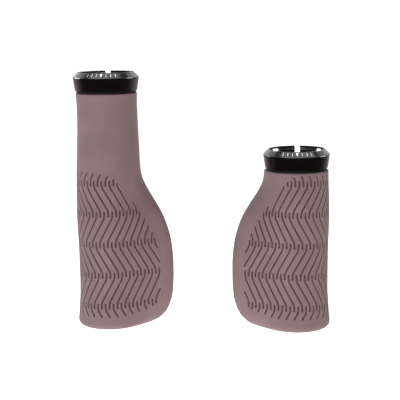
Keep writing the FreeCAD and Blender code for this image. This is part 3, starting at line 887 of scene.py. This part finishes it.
def make_floor():
    """A white floor that glows most near the grips: painted light that brightens their lower
    parts and hides their contact shadow.
    """
    material, tree, shader = new_material("floor_white", (0.86, 0.86, 0.86), 0.9, specular=0.1)
    tone = remap(tree, noise(tree, 3.0), 0.3, 0.7)
    color = mixed_color(tree, tone, (0.85, 0.85, 0.85), (0.87, 0.87, 0.87))
    tree.links.new(color, shader.inputs["Base Color"])
    shader.inputs["Emission Color"].default_value = (1, 1, 1, 1)
    place = tree.nodes.new("ShaderNodeTexCoord")
    away = tree.nodes.new("ShaderNodeVectorMath")
    away.operation = "LENGTH"
    tree.links.new(place.outputs["Object"], away.inputs[0])
    # Painted light: the glow is strongest near the grips and fades outwards.
    tree.links.new(remap(tree, away.outputs["Value"], 0.05, 0.6, 1.45, 0.7),
                   shader.inputs["Emission Strength"])
    data = bpy.data.meshes.new("floor")
    mesh = bmesh.new()
    bmesh.ops.create_circle(mesh, cap_ends=True, radius=FLOOR_RADIUS, segments=96)
    mesh.to_mesh(data)
    mesh.free()
    data.materials.append(material)
    floor = add_object("floor", data)
    floor.location.z = cad_box[0].z


def add_softbox(name, azimuth, elevation, width, height, power, only_for=None):
    """A soft rectangular light that faces the object.  Azimuth is measured from the
    front, positive to the right.  It may light one collection only."""
    middle = (cad_box[0] + cad_box[1]) / 2
    turn, rise = math.radians(azimuth), math.radians(elevation)
    way = Vector((math.sin(turn) * math.cos(rise), -math.cos(turn) * math.cos(rise),
                  math.sin(rise)))
    light = bpy.data.lights.new(name, "AREA")
    light.shape = "RECTANGLE"
    light.size = width
    light.size_y = height
    light.energy = power
    lamp = add_object(name, light)
    lamp.location = middle + way * LIGHT_DISTANCE
    lamp.rotation_euler = way.to_track_quat("Z", "Y").to_euler()
    if only_for:
        lamp.light_linking.receiver_collection = only_for


def add_graded_card():
    """A glowing card on the floor that only reflections see, a painted reflection: black in
    front of the grips and rising to a pinkish grey behind, so that the polished rings are black
    with grey ends."""
    material = bpy.data.materials.new("graded_card")
    material.use_nodes = True
    tree = material.node_tree
    tree.nodes.remove(tree.nodes["Principled BSDF"])
    place = tree.nodes.new("ShaderNodeTexCoord")
    split = tree.nodes.new("ShaderNodeSeparateXYZ")
    glow = tree.nodes.new("ShaderNodeEmission")
    # The card's pinkish glow is a painted reflection in the rings.
    glow.inputs["Color"].default_value = (1.0, 0.88, 0.90, 1)
    tree.links.new(place.outputs["Object"], split.inputs["Vector"])
    tree.links.new(remap(tree, split.outputs["Y"], -0.02, 0.30, 0.0, 0.62),
                   glow.inputs["Strength"])
    tree.links.new(glow.outputs["Emission"], tree.nodes["Material Output"].inputs["Surface"])
    data = bpy.data.meshes.new("graded_card")
    corners = [(x * CARD_HALF, y * CARD_HALF, CARD_LIFT)
               for x, y in ((-1, -1), (1, -1), (1, 1), (-1, 1))]
    data.from_pydata(corners, [], [(0, 1, 2, 3)])
    data.materials.append(material)
    card = add_object("graded_card", data)
    card.visible_camera = False
    card.visible_diffuse = False
    card.visible_shadow = False
    card.visible_transmission = False


def make_world():
    """White all round at the horizon, dimmer overhead and to the right."""
    world = bpy.data.worlds.new("studio")
    world.use_nodes = True
    tree = world.node_tree
    background = tree.nodes["Background"]
    place = tree.nodes.new("ShaderNodeTexCoord")
    split = tree.nodes.new("ShaderNodeSeparateXYZ")
    tree.links.new(place.outputs["Generated"], split.inputs["Vector"])
    overhead = remap(tree, split.outputs["Z"], 0.08, 0.6, 1.02, 0.44)
    rightward = remap(tree, split.outputs["X"], 0.30, 0.70, 1.0, 0.32)
    both = tree.nodes.new("ShaderNodeMath")
    both.operation = "MULTIPLY"
    tree.links.new(overhead, both.inputs[0])
    tree.links.new(rightward, both.inputs[1])
    tree.links.new(both.outputs["Value"], background.inputs["Strength"])
    background.inputs["Color"].default_value = (1, 1, 1, 1)
    bpy.context.scene.world = world


def make_camera():
    """A long lens in front of the pair, looking slightly down."""
    data = bpy.data.cameras.new("camera")
    data.lens = CAMERA_LENS
    data.sensor_width = CAMERA_SENSOR
    data.clip_start = 0.01
    data.clip_end = 50.0
    camera = add_object("camera", data)
    tilt = Matrix.Rotation(math.radians(90 - CAMERA_DOWN), 4, "X")
    roll = Matrix.Rotation(math.radians(CAMERA_ROLL), 4, "Z")
    camera.matrix_world = Matrix.Translation(CAMERA_PLACE) @ tilt @ roll
    bpy.context.scene.camera = camera


make_floor()
make_world()
polished = bpy.data.collections.new("polished_rings")
for grip in GRIPS:
    polished.objects.link(frame["nodes"][grip + "_clamp_ring"])
    polished.objects.link(bpy.data.objects[grip + "_ring_scale"])
add_softbox(*KEY_LIGHT)
for ring_light in RING_LIGHTS:
    add_softbox(*ring_light, only_for=polished)
add_graded_card()
make_camera()
bpy.context.scene.view_settings.view_transform = "Standard"
